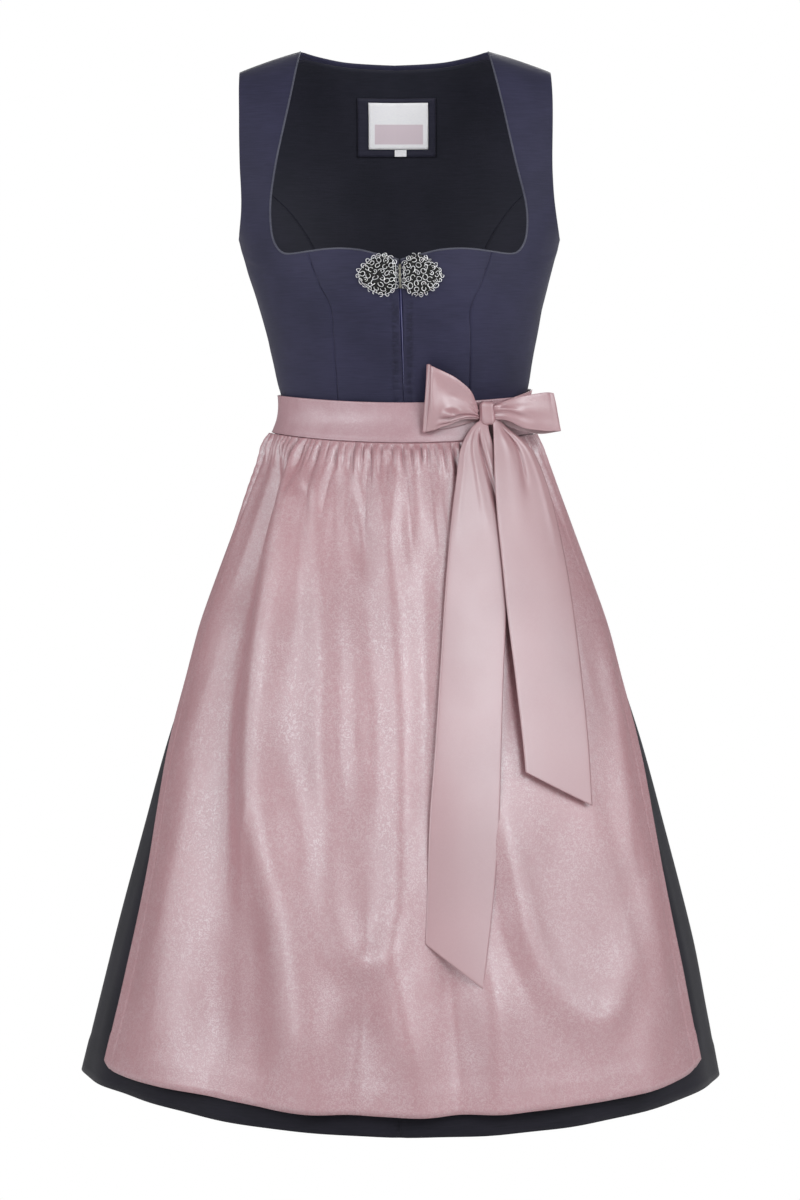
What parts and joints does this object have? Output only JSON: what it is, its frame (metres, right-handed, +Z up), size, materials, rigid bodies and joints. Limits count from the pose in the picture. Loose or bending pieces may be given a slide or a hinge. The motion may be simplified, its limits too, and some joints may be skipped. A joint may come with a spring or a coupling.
{
  "type": "dirndl dress with a tied apron",
  "caption": "Sleeveless dirndl in its worn form but hollow: fitted bodice with a wide neck and a clasp, gathered skirt, and a gathered apron tied in a bow at one side.",
  "frame": {"origin": "midway between the two shoulder straps, level with the points where they meet the neck", "axes": "+Z up, the front faces -Y, +X is the wearer's left"},
  "size_m": [0.6253, 0.5333, 0.9979],
  "materials": {
    "navy_cloth": "matt navy cloth with a fine weave",
    "navy_skirt": "matt dark navy cloth",
    "dark_lining": "dull dark lining",
    "blue_satin": "light blue-violet satin",
    "pink_satin": "dusty-pink satin with a fine woven figure",
    "white_label": "woven label, bare",
    "old_silver": "old silver"
  },
  "bodies": {
    "root": {"bodice_front_left": "navy_cloth", "bodice_front_right": "navy_cloth", "bodice_side_front_left": "navy_cloth", "bodice_side_front_right": "navy_cloth", "bodice_side_back_left": "navy_cloth", "bodice_side_back_right": "navy_cloth", "bodice_back": "navy_cloth", "lining_back": "dark_lining", "lining_side_back_left": "dark_lining", "lining_side_back_right": "dark_lining", "front_underlap": "blue_satin", "label_patch": "dark_lining", "label": "white_label", "label_tab": "white_label", "clasp_left": "old_silver", "clasp_right": "old_silver", "clasp_hook": "old_silver", "skirt_front_left": "navy_skirt", "skirt_front_right": "navy_skirt", "skirt_back": "navy_skirt", "apron_band": "pink_satin", "apron_panel": "pink_satin", "tie_round_back": "pink_satin", "bow_knot": "pink_satin", "bow_loop_left": "pink_satin", "bow_loop_right": "pink_satin", "tie_tail_long": "pink_satin", "tie_tail_short": "pink_satin"}
  },
  "joints": []
}
